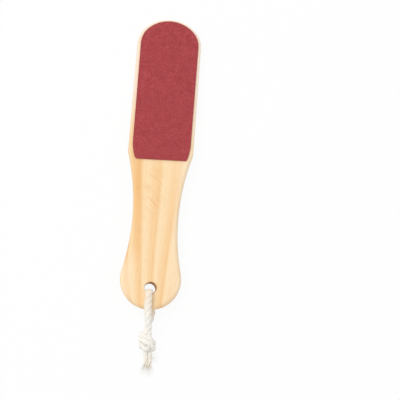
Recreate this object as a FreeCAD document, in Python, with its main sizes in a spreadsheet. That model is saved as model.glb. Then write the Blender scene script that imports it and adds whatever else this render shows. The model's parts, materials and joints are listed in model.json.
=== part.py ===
import FreeCAD, Part
import math
import os
import re

import Sketcher
from FreeCAD import Placement, Rotation, Vector

# Foot file: a pine paddle with an abrasive sheet glued to each face of its head and a knotted
# cotton cord through its tail. It lies on its back on a flat surface, head towards +Y. The rear
# leg of the cord runs under the tail, so the paddle leans on the cord and on the tip of its head.

# Driving dimensions, in millimetres and degrees
SIZES = (
    # Wooden paddle
    ("paddle_length", "225"),
    ("head_width", "49.4"),
    ("crown_width", "48.6"),
    ("crown_rise", "20.25"),
    ("crown_corner_turn", "47.6"),
    ("shoulder_radius", "9"),
    ("waist_width", "34.8"),
    ("waist_from_tail", "70.5"),
    ("bulb_radius", "23.2"),
    ("wood_thickness", "8"),
    ("head_edge_radius", "1.4"),
    ("handle_edge_radius", "3.2"),
    ("hole_diameter", "8.6"),
    ("hole_from_tail", "16.1"),
    ("hole_rim_radius", "0.8"),
    # Abrasive sheets, of one outline on both faces
    ("sheet_side_margin", "2.2"),
    ("sheet_top_margin", "1.5"),
    ("sheet_foot_from_top", "110"),
    ("sheet_taper_length", "13.5"),
    ("sheet_taper_inset", "2.6"),
    ("sheet_left_corner_radius", "2.3"),
    ("sheet_right_corner_radius", "0.8"),
    ("sheet_foot_skew", "2.4"),
    ("adhesive_thickness", "0.15"),
    ("backing_thickness", "0.45"),
    ("front_grit_thickness", "0.5"),
    ("rear_grit_thickness", "0.4"),
    # Cord
    ("cord_diameter", "5.2"),
    ("cord_gap", "0.65"),
    ("cord_taper_length", "4.5"),
    ("knot_from_hole", "40.7"),
    ("knot_offset", "1"),
    ("strand_pitch", "3.2"),
    ("strand_diameter", "2.6"),
    ("strand_lead", "5.5"),
    ("tail_length", "16"),
    ("tail_diameter", "5"),
    ("tail_belly_diameter", "4.5"),
    ("tail_flare_length", "7"),
    ("tail_tip_radius", "0.9"),
)

doc = FreeCAD.newDocument("foot_file")
sheet = doc.addObject("Spreadsheet::Sheet", "sizes")
for row, (alias, value) in enumerate(SIZES, start=1):
    sheet.set(f"A{row}", alias)
    sheet.set(f"B{row}", value)
    sheet.setAlias(f"B{row}", alias)
doc.recompute()

SHEET_CELL = {alias: "sizes." + alias for alias, _ in SIZES}

# Lengths that differ by less than this are the same
SAME_LENGTH = 1e-6


def cells(text):
    """Turn words of an expression that name a size into their cells."""
    return re.sub("[a-z_]+", lambda word: SHEET_CELL.get(word[0], word[0]), text)


def value_of(text):
    """Number that an expression of sizes gives, with angles in degrees."""
    result = sheet.evalExpression(cells(text))
    return float(getattr(result, "Value", result))


# How the paddle lies: the cord lifts its tail and the rear sheet touches down at its head

REAR_STACK = "( adhesive_thickness + backing_thickness + rear_grit_thickness )"
TILT = (
    f"asin(( cord_diameter + cord_gap - {REAR_STACK} )"
    " / ( paddle_length - sheet_top_margin - hole_from_tail ) )"
)
LIFT = (
    f"( ( paddle_length / 2 - sheet_top_margin ) * sin({TILT})"
    f" + ( wood_thickness / 2 + {REAR_STACK} ) * cos({TILT}) )"
)


def lay_down(item):
    """Lean a piece that is drawn flat, with mid-thickness at zero, onto cord and head."""
    item.Placement = Placement(Vector(), Rotation(Vector(-1, 0, 0), value_of(TILT)))
    item.setExpression("Placement.Rotation.Angle", cells(TILT))
    item.setExpression("Placement.Base.z", cells(LIFT))


# Sketches

ORIGIN = (-1, 1)
LEVEL_INDEX = -1
UPRIGHT_INDEX = -2
START_INDEX, END_INDEX, CENTRE_INDEX = 1, 2, 3


def origin_plane(body, role):
    return next(item for item in body.Origin.OriginFeatures if item.Role == role)


def new_sketch(body, name):
    sketch = body.newObject("Sketcher::SketchObject", name)
    sketch.AttachmentSupport = [(origin_plane(body, "XY_Plane"), "")]
    sketch.MapMode = "FlatFace"
    return sketch


def start_of(curve):
    return curve, START_INDEX


def end_of(curve):
    return curve, END_INDEX


def centre_of(curve):
    return curve, CENTRE_INDEX


def join(sketch, kind, *places):
    sketch.addConstraint(Sketcher.Constraint(kind, *places))


def dimension(sketch, name, text, kind, *places):
    """Driving dimension of a sketch, bound to the sheet."""
    number = value_of(text)
    if kind == "Angle":
        number = math.radians(number)
        text = f"( {text} ) * 1 deg"
    index = sketch.addConstraint(Sketcher.Constraint(kind, *places, number))
    sketch.renameConstraint(index, name)
    sketch.setExpression("Constraints." + name, cells(text))


def arc(centre, radius, first, last):
    """Anticlockwise arc between two angles in degrees."""
    circle = Part.Circle(Vector(*centre), Vector(0, 0, 1), radius)
    return Part.ArcOfCircle(circle, math.radians(first), math.radians(last))


def line(start, end):
    return Part.LineSegment(Vector(*start), Vector(*end))


def bearing(start, end):
    return math.degrees(math.atan2(end[1] - start[1], end[0] - start[0]))


def arch_radii(half, rise):
    """Expressions for the radii of a three-centred arch, at its corners and at its crown."""
    lean = "tan(( 90 - crown_corner_turn ) / 2 )"
    corner = f"( ( {rise} - {half} * {lean} ) / ( 1 - {lean} ) )"
    return corner, f"( {rise} + ( {half} - {corner} ) * tan(crown_corner_turn) )"


# Wooden paddle


def paddle_outline(body):
    """Right half of the outline, from the tail round to the crown and back down the axis."""
    end = value_of("paddle_length / 2")
    bulb_radius = value_of("bulb_radius")
    bulb_centre = (0, bulb_radius - end)
    waist = value_of("waist_width / 2")
    waist_height = value_of("waist_from_tail") - end
    rise = waist_height - bulb_centre[1]
    waist_radius = (rise ** 2 + waist ** 2 - bulb_radius ** 2) / (2 * (bulb_radius - waist))
    waist_centre = (waist + waist_radius, waist_height)
    shoulder_radius = value_of("shoulder_radius")
    head = value_of("head_width / 2")
    across = waist_centre[0] - head + shoulder_radius
    climb = math.sqrt((waist_radius + shoulder_radius) ** 2 - across ** 2)
    shoulder_centre = (head - shoulder_radius, waist_height + climb)
    corner_radius, crown_radius = map(value_of, arch_radii("crown_width / 2", "crown_rise"))
    crown_side = value_of("crown_width / 2")
    corner_centre = (crown_side - corner_radius, end - value_of("crown_rise"))
    crown_centre = (0, end - crown_radius)
    crown_turn = value_of("crown_corner_turn")
    neck_turn = bearing(bulb_centre, waist_centre)
    shoulder_turn = bearing(shoulder_centre, waist_centre)

    sketch = new_sketch(body, "paddle_outline")
    bulb = sketch.addGeometry(arc(bulb_centre, bulb_radius, -90, neck_turn))
    waist_arc = sketch.addGeometry(arc(waist_centre, waist_radius, shoulder_turn + 180, neck_turn + 180))
    shoulder = sketch.addGeometry(arc(shoulder_centre, shoulder_radius, shoulder_turn, 0))
    side = sketch.addGeometry(line((head, shoulder_centre[1]), (crown_side, corner_centre[1])))
    corner = sketch.addGeometry(arc(corner_centre, corner_radius, 0, crown_turn))
    crown = sketch.addGeometry(arc(crown_centre, crown_radius, crown_turn, 90))
    axis = sketch.addGeometry(line((0, end), (0, -end)))
    waist_point = sketch.addGeometry(Part.Point(Vector(waist, waist_height)), True)

    join(sketch, "Tangent", *end_of(bulb), *end_of(waist_arc))
    join(sketch, "Tangent", *start_of(waist_arc), *start_of(shoulder))
    join(sketch, "Tangent", *end_of(shoulder), *start_of(side))
    join(sketch, "Tangent", *end_of(side), *start_of(corner))
    join(sketch, "Tangent", *end_of(corner), *start_of(crown))
    join(sketch, "Coincident", *end_of(crown), *start_of(axis))
    join(sketch, "Coincident", *end_of(axis), *start_of(bulb))
    for place in (end_of(crown), centre_of(crown), start_of(bulb), centre_of(bulb)):
        join(sketch, "PointOnObject", *place, UPRIGHT_INDEX)
    join(sketch, "PointOnObject", *start_of(waist_point), waist_arc)
    join(sketch, "Horizontal", *start_of(waist_point), *centre_of(waist_arc))
    dimension(sketch, "crown_end", "paddle_length / 2", "DistanceY", *ORIGIN, *end_of(crown))
    dimension(sketch, "tail_end", "paddle_length / 2", "DistanceY", *start_of(bulb), *ORIGIN)
    dimension(sketch, "bulb_radius", "bulb_radius", "Radius", bulb)
    dimension(sketch, "waist_half", "waist_width / 2", "DistanceX", *ORIGIN, *start_of(waist_point))
    from_tail = "waist_from_tail"
    dimension(sketch, "waist_place", from_tail, "DistanceY", *start_of(bulb), *start_of(waist_point))
    dimension(sketch, "shoulder_radius", "shoulder_radius", "Radius", shoulder)
    dimension(sketch, "head_half", "head_width / 2", "DistanceX", *ORIGIN, *end_of(shoulder))
    dimension(sketch, "corner_turn", "crown_corner_turn", "Angle", corner)
    dimension(sketch, "crown_half", "crown_width / 2", "DistanceX", *ORIGIN, *start_of(corner))
    dimension(sketch, "crown_rise", "crown_rise", "DistanceY", *start_of(corner), *end_of(crown))
    return sketch


def cord_hole(body):
    sketch = new_sketch(body, "cord_hole_outline")
    centre = Vector(0, value_of("hole_from_tail - paddle_length / 2"))
    circle = sketch.addGeometry(Part.Circle(centre, Vector(0, 0, 1), value_of("hole_diameter / 2")))
    join(sketch, "PointOnObject", *centre_of(circle), UPRIGHT_INDEX)
    reach = "paddle_length / 2 - hole_from_tail"
    dimension(sketch, "hole_place", reach, "DistanceY", *centre_of(circle), *ORIGIN)
    dimension(sketch, "hole_diameter", "hole_diameter", "Diameter", circle)
    hole = body.newObject("PartDesign::Pocket", "cord_hole")
    hole.Profile = sketch
    hole.SideType = "Symmetric"
    hole.setExpression("Length", cells("2 * wood_thickness"))
    return hole


def is_level(edge, height):
    box = edge.BoundBox
    return max(abs(box.ZMin - height), abs(box.ZMax - height)) < SAME_LENGTH


def is_bend(edge, radius):
    return hasattr(edge.Curve, "Radius") and abs(edge.Curve.Radius - radius) < SAME_LENGTH


def face_edges(shape):
    """Numbered edges that lie in the two faces of the board."""
    half = value_of("wood_thickness / 2")
    for number, edge in enumerate(shape.Edges, start=1):
        if is_level(edge, half) or is_level(edge, -half):
            yield number, edge


def edge_roundings(shape):
    """Small rounding round the head, a hand-friendly one on the handle, blended at the shoulders."""
    head_radius = value_of("head_edge_radius")
    handle_radius = value_of("handle_edge_radius")
    shoulder_radius = value_of("shoulder_radius")
    hole_radius = value_of("hole_diameter / 2")
    edges = [(number, edge) for number, edge in face_edges(shape) if not is_bend(edge, hole_radius)]
    shoulders = [edge for _, edge in edges if is_bend(edge, shoulder_radius)]
    shoulder_middle = shoulders[0].CenterOfMass.y
    roundings = []
    for number, edge in edges:
        first = edge.valueAt(edge.FirstParameter)
        last = edge.valueAt(edge.LastParameter)
        radii = [handle_radius if end.y < shoulder_middle else head_radius for end in (first, last)]
        roundings.append((number, *radii))
    return roundings


def wood_paddle():
    body = doc.addObject("PartDesign::Body", "paddle_blank")
    board = body.newObject("PartDesign::Pad", "half_board")
    board.Profile = paddle_outline(body)
    board.SideType = "Symmetric"
    board.setExpression("Length", cells("wood_thickness"))
    mirrored = body.newObject("PartDesign::Mirrored", "whole_board")
    mirrored.Originals = [board]
    mirrored.MirrorPlane = (origin_plane(body, "YZ_Plane"), [""])
    body.Tip = mirrored
    hole = cord_hole(body)
    doc.recompute()
    rim = body.newObject("PartDesign::Fillet", "hole_rim")
    hole_radius = value_of("hole_diameter / 2")
    rims = [f"Edge{number}" for number, edge in face_edges(hole.Shape) if is_bend(edge, hole_radius)]
    rim.Base = (hole, rims)
    rim.setExpression("Radius", cells("hole_rim_radius"))
    lay_down(body)
    doc.recompute()
    paddle = doc.addObject("Part::Fillet", "wood_paddle")
    paddle.Base = body
    paddle.Edges = edge_roundings(rim.Shape)
    return paddle


# Abrasive sheets

SHEET_HALF = "( crown_width / 2 - sheet_side_margin )"
SHEET_CORNER, SHEET_CROWN = arch_radii(SHEET_HALF, "( crown_rise - sheet_top_margin )")
SHEET_CROWN_PLACE = f"paddle_length / 2 - sheet_top_margin - {SHEET_CROWN}"
SHEET_FOOT_REACH = f"sheet_foot_from_top - sheet_top_margin - {SHEET_CROWN}"
SHEET_TAPER = "( ( sheet_taper_length ^ 2 + sheet_taper_inset ^ 2 ) / ( 2 * sheet_taper_inset ) )"


def foot_corner(side, corner_radius):
    """Taper centre, corner centre and the bearing at which the two arcs of one foot corner meet."""
    taper_radius = value_of(SHEET_TAPER)
    foot = value_of("paddle_length / 2 - sheet_foot_from_top")
    slope = math.radians(value_of("sheet_foot_skew"))
    taper_centre = (
        side * (value_of(SHEET_HALF) - taper_radius),
        foot + value_of("sheet_taper_length"),
    )
    edge = side * value_of(f"{SHEET_HALF} - sheet_taper_inset") * math.tan(slope)
    height = foot + edge + corner_radius
    reach = math.sqrt((taper_radius - corner_radius) ** 2 - (height - taper_centre[1]) ** 2)
    corner_centre = (taper_centre[0] + side * reach, height)
    return taper_centre, corner_centre, bearing(taper_centre, corner_centre)


def sheet_outline(body, name):
    """Arched sheet with straight sides that curve in above a slightly skewed foot."""
    half = value_of(SHEET_HALF)
    crown_radius = value_of(SHEET_CROWN)
    crown_centre = (0, value_of(SHEET_CROWN_PLACE))
    corner_radius = value_of(SHEET_CORNER)
    spring = value_of("paddle_length / 2 - crown_rise")
    right_centre = (half - corner_radius, spring)
    left_centre = (corner_radius - half, spring)
    crown_turn = value_of("crown_corner_turn")
    taper_radius = value_of(SHEET_TAPER)
    skew = value_of("sheet_foot_skew")
    right_radius = value_of("sheet_right_corner_radius")
    left_radius = value_of("sheet_left_corner_radius")
    right_taper_centre, right_foot_centre, right_turn = foot_corner(1, right_radius)
    left_taper_centre, left_foot_centre, left_turn = foot_corner(-1, left_radius)
    taper_top = right_taper_centre[1]
    foot = value_of("paddle_length / 2 - sheet_foot_from_top")
    left_foot = (left_foot_centre[0], left_foot_centre[1] - left_radius)
    right_foot = (right_foot_centre[0], right_foot_centre[1] - right_radius)

    sketch = new_sketch(body, name)
    outline = [
        line(left_foot, right_foot),
        arc(right_foot_centre, right_radius, skew - 90, right_turn),
        arc(right_taper_centre, taper_radius, right_turn, 0),
        line((half, taper_top), (half, spring)),
        arc(right_centre, corner_radius, 0, crown_turn),
        arc(crown_centre, crown_radius, crown_turn, 180 - crown_turn),
        arc(left_centre, corner_radius, 180 - crown_turn, 180),
        line((-half, spring), (-half, taper_top)),
        arc(left_taper_centre, taper_radius, 180, left_turn % 360),
        arc(left_foot_centre, left_radius, left_turn % 360, skew + 270),
    ]
    curves = [sketch.addGeometry(curve) for curve in outline]
    for curve, after in zip(curves, curves[1:] + curves[:1]):
        join(sketch, "Tangent", *end_of(curve), *start_of(after))
    foot_edge, right_foot, right_taper, right_side, right_crown = curves[:5]
    crown, left_crown, left_side, left_taper, left_foot = curves[5:]
    middle = sketch.addGeometry(Part.Point(Vector(0, foot)), True)
    join(sketch, "Vertical", right_side)
    join(sketch, "Vertical", left_side)
    join(sketch, "PointOnObject", *centre_of(crown), UPRIGHT_INDEX)
    join(sketch, "PointOnObject", *start_of(middle), UPRIGHT_INDEX)
    join(sketch, "PointOnObject", *start_of(middle), foot_edge)
    dimension(sketch, "right_half", SHEET_HALF, "DistanceX", *ORIGIN, *start_of(right_side))
    dimension(sketch, "left_half", SHEET_HALF, "DistanceX", *end_of(left_side), *ORIGIN)
    dimension(sketch, "crown_place", SHEET_CROWN_PLACE, "DistanceY", *ORIGIN, *centre_of(crown))
    dimension(sketch, "crown_radius", SHEET_CROWN, "Radius", crown)
    dimension(sketch, "right_crown_radius", SHEET_CORNER, "Radius", right_crown)
    dimension(sketch, "left_crown_radius", SHEET_CORNER, "Radius", left_crown)
    dimension(sketch, "foot_place", SHEET_FOOT_REACH, "DistanceY", *start_of(middle), *centre_of(crown))
    dimension(sketch, "foot_skew", "sheet_foot_skew", "Angle", foot_edge)
    taper_length = "sheet_taper_length"
    dimension(sketch, "right_taper", taper_length, "DistanceY", *start_of(middle), *start_of(right_side))
    dimension(sketch, "left_taper", taper_length, "DistanceY", *start_of(middle), *end_of(left_side))
    dimension(sketch, "right_taper_radius", SHEET_TAPER, "Radius", right_taper)
    dimension(sketch, "left_taper_radius", SHEET_TAPER, "Radius", left_taper)
    dimension(sketch, "right_foot_radius", "sheet_right_corner_radius", "Radius", right_foot)
    dimension(sketch, "left_foot_radius", "sheet_left_corner_radius", "Radius", left_foot)
    return sketch


def sheet_layer(label, thickness, underside):
    """One layer of an abrasive sheet, from its underside up by its thickness."""
    body = doc.addObject("PartDesign::Body", label)
    sketch = sheet_outline(body, label + "_outline")
    sketch.setExpression("AttachmentOffset.Base.z", cells(underside))
    layer = body.newObject("PartDesign::Pad", label + "_layer")
    layer.Profile = sketch
    layer.setExpression("Length", cells(thickness))
    lay_down(body)
    return body


def abrasive_sheets():
    front = "wood_thickness / 2"
    rear = "- wood_thickness / 2"
    glued = f"{front} + adhesive_thickness"
    rear_glued = f"{rear} - adhesive_thickness"
    return [
        sheet_layer("front_adhesive", "adhesive_thickness", front),
        sheet_layer("front_abrasive_backing", "backing_thickness", glued),
        sheet_layer("front_grit_coat", "front_grit_thickness", f"{glued} + backing_thickness"),
        sheet_layer("rear_adhesive", "adhesive_thickness", rear_glued),
        sheet_layer("rear_abrasive_backing", "backing_thickness", f"{rear_glued} - backing_thickness"),
        sheet_layer(
            "rear_grit_coat",
            "rear_grit_thickness",
            f"{rear_glued} - backing_thickness - rear_grit_thickness",
        ),
    ]


# Cord

# Each arc of a cord takes this share of the shorter of its two runs
ARC_SHARE = 0.45

# A tube's volume may differ by this share from its section times its length
VOLUME_SHARE = 0.005

# Distances between strands are measured on points this share of a diameter apart
STEP_SHARE = 0.125

# Knot routes as shares of the strand pitch: along the cord, across it, and up from its middle.
# The cord is doubled, so two strands go side by side. Each comes in at the top, runs down the core,
# turns left at the foot, wraps once round the core and leaves down the core again.
FRONT_ENTRY_SHARES = ((-1.9, 0.5, 0.55),)
REAR_ENTRY_SHARES = ((-2.5, -0.5, 0.5),)
OUTER_TURN_SHARES = ((0.6, 0.5, 0.5), (1.75, 0, 0.5), (1.95, -1, 0.45), (1.8, -1.72, -0.45))
INNER_TURN_SHARES = ((0.2, -0.5, 0.5), (0.95, -1.2, 0.4), (0.8, -1.72, -0.45))
WRAP_CLIMB_SHARES = (0.45, 0.45, 0.4, 0.2, -0.3, -0.9, -1.45)
WRAP_RADIUS_SHARE = 1.79
OUTER_STRAND_SHARE = 1.12
LEFT_TAIL_SHARES = ((1.4, -0.5, -0.5), (2.6, -0.5, -0.66))
RIGHT_TAIL_SHARES = ((1.4, 0.5, -0.5), (2.6, 0.72, -0.66))

# The cord lies towards the tail and to the left in its hole, by this share of its play each way
SEAT_SHARE = 0.7


def turned_over(shares):
    """The same turn at the other end of the knot, half a turn round the line across it."""
    return tuple((-along, across, -up) for along, across, up in reversed(shares))


def wrap_shares(lower):
    """One turn round the core, from low on the left, behind, to high on the left."""
    places = []
    for step, climb in enumerate(WRAP_CLIMB_SHARES, start=1):
        angle = math.pi + step * math.pi / 4
        across = WRAP_RADIUS_SHARE * math.cos(angle)
        places.append((climb + lower, across, WRAP_RADIUS_SHARE * math.sin(angle)))
    return tuple(places)


def knot_points(shares, middle):
    """Points of a strand round the middle of the knot."""
    pitch = value_of("strand_pitch")
    places = (Vector(across, -along, up) for along, across, up in shares)
    return [middle + place * pitch for place in places]


def towards(start, end):
    return (end - start).normalize()


def rounded_route(points, trim=0.0):
    """Wire of straight runs and tangent arcs, its two ends cut back, and the radii of its arcs."""
    edges = []
    radii = []
    at = points[0] + towards(points[0], points[1]) * trim
    for before, corner, after in zip(points, points[1:], points[2:]):
        back = towards(corner, before)
        ahead = towards(corner, after)
        half_turn = (math.pi - back.getAngle(ahead)) / 2
        reach = ARC_SHARE * min(corner.distanceToPoint(before), corner.distanceToPoint(after))
        radius = reach / math.tan(half_turn)
        start = corner + back * reach
        end = corner + ahead * reach
        middle = corner + (back + ahead).normalize() * (math.hypot(radius, reach) - radius)
        edges.append(Part.LineSegment(at, start).toShape())
        edges.append(Part.Arc(start, middle, end).toShape())
        radii.append(radius)
        at = end
    finish = points[-1] + towards(points[-1], points[-2]) * trim
    edges.append(Part.LineSegment(at, finish).toShape())
    return Part.Wire(edges), radii


def tube(name, wire, diameter, radii):
    """Round tube along a wire, whose volume is its section times its length."""
    first = wire.Edges[0]
    start = first.valueAt(first.FirstParameter)
    heading = first.tangentAt(first.FirstParameter)
    section = Part.Wire(Part.Circle(start, heading, diameter / 2).toShape())
    solid = wire.makePipeShell([section], True, False)
    expected = math.pi * diameter ** 2 / 4 * wire.Length
    if abs(solid.Volume / expected - 1) > VOLUME_SHARE:
        raise ValueError(f"{name}: volume {solid.Volume:.1f} is not {expected:.1f}")
    print(name, "arc radii", [round(radius, 1) for radius in radii], "length", round(wire.Length, 1))
    return solid


def least_gap(first, second, diameter):
    """Least gap between two strands, measured on points along them."""
    step = diameter * STEP_SHARE
    here = first.discretize(Distance=step)
    there = second.discretize(Distance=step)
    return min(a.distanceToPoint(b) for a in here for b in there) - diameter


def placed_shape(label, shape):
    """Sub-part drawn where it lies."""
    item = doc.addObject("Part::Feature", label)
    item.Shape = shape
    item.Placement = Placement()
    return item


def loop_route():
    """Bends of the cord from the front of the tail, through the hole, to the surface under it."""
    radius = value_of("cord_diameter / 2")
    hole = value_of("hole_from_tail - paddle_length / 2")
    seat = SEAT_SHARE * value_of("hole_diameter / 2 - cord_diameter / 2 - cord_gap")
    over = value_of("cord_diameter + wood_thickness + 2 * cord_gap") + radius
    rise = math.tan(math.radians(value_of(TILT)))

    def in_front(across, reach):
        return Vector(across, hole - reach, over + reach * rise)

    def behind(across, reach):
        return Vector(across, hole - reach, radius)

    return [
        in_front(-0.4, 22.6),
        in_front(-1.1, 12.1),
        in_front(-seat, seat),
        behind(-seat, seat),
        behind(2.4, 12.1),
        behind(3, 20.5),
    ]


def knot_middle():
    """The knot lies on the surface, below the hole."""
    wrap, _ = rounded_route(knot_points(wrap_shares(0), Vector()))
    height = value_of("strand_diameter / 2") - wrap.BoundBox.ZMin
    along = value_of("hole_from_tail - paddle_length / 2 - knot_from_hole")
    return Vector(value_of("knot_offset"), along, height)


def strand_points(shares, bend):
    """A strand of the knot, led in straight from the last bend of its leg."""
    points = knot_points(shares, knot_middle())
    lead = points[0] + towards(points[0], bend) * value_of("strand_lead")
    return [lead, *points]


def knot_strands(route):
    """The front leg runs outside the turns and ends on the left, the rear leg ends on the right."""
    front = FRONT_ENTRY_SHARES + OUTER_TURN_SHARES + wrap_shares(OUTER_STRAND_SHARE)
    front += turned_over(INNER_TURN_SHARES) + LEFT_TAIL_SHARES
    rear = REAR_ENTRY_SHARES + INNER_TURN_SHARES + wrap_shares(0)
    rear += turned_over(OUTER_TURN_SHARES) + RIGHT_TAIL_SHARES
    return strand_points(front, route[0]), strand_points(rear, route[-1])


def cord_knot(front, rear):
    """Overhand knot tied in both legs of the cord together."""
    diameter = value_of("strand_diameter")
    front_wire, front_radii = rounded_route(front)
    rear_wire, rear_radii = rounded_route(rear)
    print("knot strands, least gap", round(least_gap(front_wire, rear_wire, diameter), 2))
    strands = [
        tube("front strand", front_wire, diameter, front_radii),
        tube("rear strand", rear_wire, diameter, rear_radii),
    ]
    return placed_shape("cord_knot", Part.Compound(strands))


def cord_loop(route):
    """The cord from the knot through the hole and back, drawn thin where it enters the knot."""
    diameter = value_of("cord_diameter")
    taper = value_of("cord_taper_length")
    wire, radii = rounded_route(route, taper)
    cord = tube("cord loop", wire, diameter, radii)
    strand_radius = value_of("strand_diameter / 2")
    for end, bend in ((route[0], route[1]), (route[-1], route[-2])):
        outward = towards(bend, end)
        cone = Part.makeCone(diameter / 2, strand_radius, taper, end - outward * taper, outward)
        cord = cord.fuse(cone)
    return placed_shape("cord_loop", cord.removeSplitter())


def frayed_tail(label, start, before):
    """Loose cord end that swells from the knot to its cut tip."""
    body = doc.addObject("PartDesign::Body", label)
    sketch = new_sketch(body, label + "_profile")
    length = value_of("tail_length")
    neck = value_of("strand_diameter / 2")
    flare = value_of("tail_flare_length")
    belly = value_of("tail_belly_diameter / 2")
    radius = value_of("tail_diameter / 2")
    tip = value_of("tail_tip_radius")
    swell_radius = (flare ** 2 + (belly - neck) ** 2) / (2 * (belly - neck))
    swell_turn = bearing((flare, belly - swell_radius), (0, neck))
    axis = sketch.addGeometry(line((0, 0), (length, 0)))
    cut = sketch.addGeometry(line((length, 0), (length, radius - tip)))
    tip_arc = sketch.addGeometry(arc((length - tip, radius - tip), tip, 0, 90))
    side = sketch.addGeometry(line((length - tip, radius), (flare, belly)))
    swell = sketch.addGeometry(arc((flare, belly - swell_radius), swell_radius, 90, swell_turn))
    joint = sketch.addGeometry(line((0, neck), (0, 0)))
    join(sketch, "Coincident", *start_of(axis), *ORIGIN)
    join(sketch, "PointOnObject", *end_of(axis), LEVEL_INDEX)
    join(sketch, "Coincident", *end_of(axis), *start_of(cut))
    join(sketch, "Vertical", cut)
    join(sketch, "Tangent", *end_of(cut), *start_of(tip_arc))
    join(sketch, "Tangent", *end_of(tip_arc), *start_of(side))
    join(sketch, "Tangent", *end_of(side), *start_of(swell))
    join(sketch, "Coincident", *end_of(swell), *start_of(joint))
    join(sketch, "Coincident", *end_of(joint), *start_of(axis))
    join(sketch, "Vertical", joint)
    dimension(sketch, "length", "tail_length", "DistanceX", *ORIGIN, *end_of(axis))
    dimension(sketch, "neck", "strand_diameter / 2", "DistanceY", *ORIGIN, *end_of(swell))
    dimension(sketch, "flare", "tail_flare_length", "DistanceX", *ORIGIN, *end_of(side))
    dimension(sketch, "belly", "tail_belly_diameter / 2", "DistanceY", *ORIGIN, *end_of(side))
    dimension(sketch, "radius", "tail_diameter / 2", "DistanceY", *ORIGIN, *start_of(side))
    dimension(sketch, "tip", "tail_tip_radius", "Radius", tip_arc)
    turned = body.newObject("PartDesign::Revolution", label + "_turned")
    turned.Profile = sketch
    turned.ReferenceAxis = (sketch, ["H_Axis"])
    body.Placement = Placement(start, Rotation(Vector(1, 0, 0), start - before))
    return body


def main():
    paddle = wood_paddle()
    sheets = abrasive_sheets()
    route = loop_route()
    front, rear = knot_strands(route)
    knot = cord_knot(front, rear)
    loop = cord_loop([front[0], *route, rear[0]])
    tails = [
        frayed_tail("left_tail", front[-1], front[-2]),
        frayed_tail("right_tail", rear[-1], rear[-2]),
    ]
    doc.recompute()
    for item in doc.Objects:
        if "Invalid" in item.State or "Error" in item.State:
            raise RuntimeError(f"{item.Label} failed: {item.State}")
    pieces = [paddle, *sheets, loop, knot, *tails]
    for piece in pieces:
        if piece.Shape.isNull() or not piece.Shape.isValid():
            raise RuntimeError(f"{piece.Label} has no valid shape")
    os.makedirs("parts", exist_ok=True)
    for piece in pieces:
        piece.Shape.exportStep(f"parts/{piece.Label}.step")
        print(piece.Label, "volume", round(piece.Shape.Volume, 1))


main()
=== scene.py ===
import json
import math

import bpy
import numpy as np
from mathutils import Matrix, Vector


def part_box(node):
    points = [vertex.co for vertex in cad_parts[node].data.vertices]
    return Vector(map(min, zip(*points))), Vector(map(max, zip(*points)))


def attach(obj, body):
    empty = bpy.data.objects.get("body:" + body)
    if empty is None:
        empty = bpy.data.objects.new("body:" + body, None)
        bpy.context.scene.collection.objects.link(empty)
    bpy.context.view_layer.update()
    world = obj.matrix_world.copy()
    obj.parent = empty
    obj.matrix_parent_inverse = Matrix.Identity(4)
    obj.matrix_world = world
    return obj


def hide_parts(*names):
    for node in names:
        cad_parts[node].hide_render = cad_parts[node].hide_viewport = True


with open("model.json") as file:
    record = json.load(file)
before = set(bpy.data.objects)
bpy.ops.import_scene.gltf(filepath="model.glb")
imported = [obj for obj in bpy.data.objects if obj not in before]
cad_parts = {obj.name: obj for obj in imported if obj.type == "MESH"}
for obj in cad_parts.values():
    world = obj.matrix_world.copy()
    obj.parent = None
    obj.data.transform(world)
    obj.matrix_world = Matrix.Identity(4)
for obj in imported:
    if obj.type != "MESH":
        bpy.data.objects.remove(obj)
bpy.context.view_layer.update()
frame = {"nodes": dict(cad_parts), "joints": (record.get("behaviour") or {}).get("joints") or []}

# Foot file: a pine paddle with a red abrasive sheet on each face and a knotted cotton cord.
# Sizes are in millimetres and become metres where a mesh or a node takes them.

MM = 0.001

# Camera: the paddle's middle stands left of and above the image's middle, and its head leans right
IMAGE_WIDTH_PX = 400
PADDLE_MIDDLE_PX = (159.5, 164.3)
SCALE_MM_PER_PX = 0.7606
LEAN_DEG = 4.5
CAMERA_TILT_DEG = 11
CAMERA_SIDE_DEG = 240
LENS_MM = 300
SENSOR_MM = 36

# Floor and light
FLOOR_HALF_SIDE = 3000
FLOOR_HEIGHT = -0.3
FLOOR_GLOW_SHARE = 0.93
AMBIENT_STRENGTH = 0.72
KEY_PLACE = (-600, 250, 1200)
KEY_DIAMETER = 900
KEY_WATTS = 7

# Growth rings of the pine, in the board's own millimetres
RING_PITCH = 15.7
RING_PITCH_GROWTH_SHARE = 0.07
RING_START = 14
RING_LEAN_SHARE = 0.8
RING_SWAY = 5
RING_SWAY_CELL = (30, 120, 30)
RING_FADING_Y = (-20, 30)

# Honey colour on the left of the handle, a painted highlight that makes the sides paler, and paler sapwood
# at the head
HONEY_X = (-7, -16)
HONEY_Y = (-84, -66)
HONEY_DEPTH_SHARE = 0.17
SIDE_HIGHLIGHT_X = (11, 18)
HEAD_SAPWOOD_Y = (15, 55)

# Figure across the grain, fibre lines, resin canals and painted shade on the wall of the hole
FIGURE_MIDDLE = (-3, -22, 11)
FIGURE_REACH = (9, 26, 9)
FIGURE_CELL = (12, 1.8, 12)
FIGURE_TURN = 0.75
FIBRE_CELL = (1.1, 40, 1.1)
FIBRE_DEPTH = 0.05
FIBRE_LINE_SHARE = 0.35
CANAL_CELL = (0.35, 8, 0.35)
HOLE_SHADE_MIDDLE = (0.5, -96.43, 0)
HOLE_SHADE_RADIUS = (4.9, 4.4)
HOLE_SHADE_X = (-3, 0.5)

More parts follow.
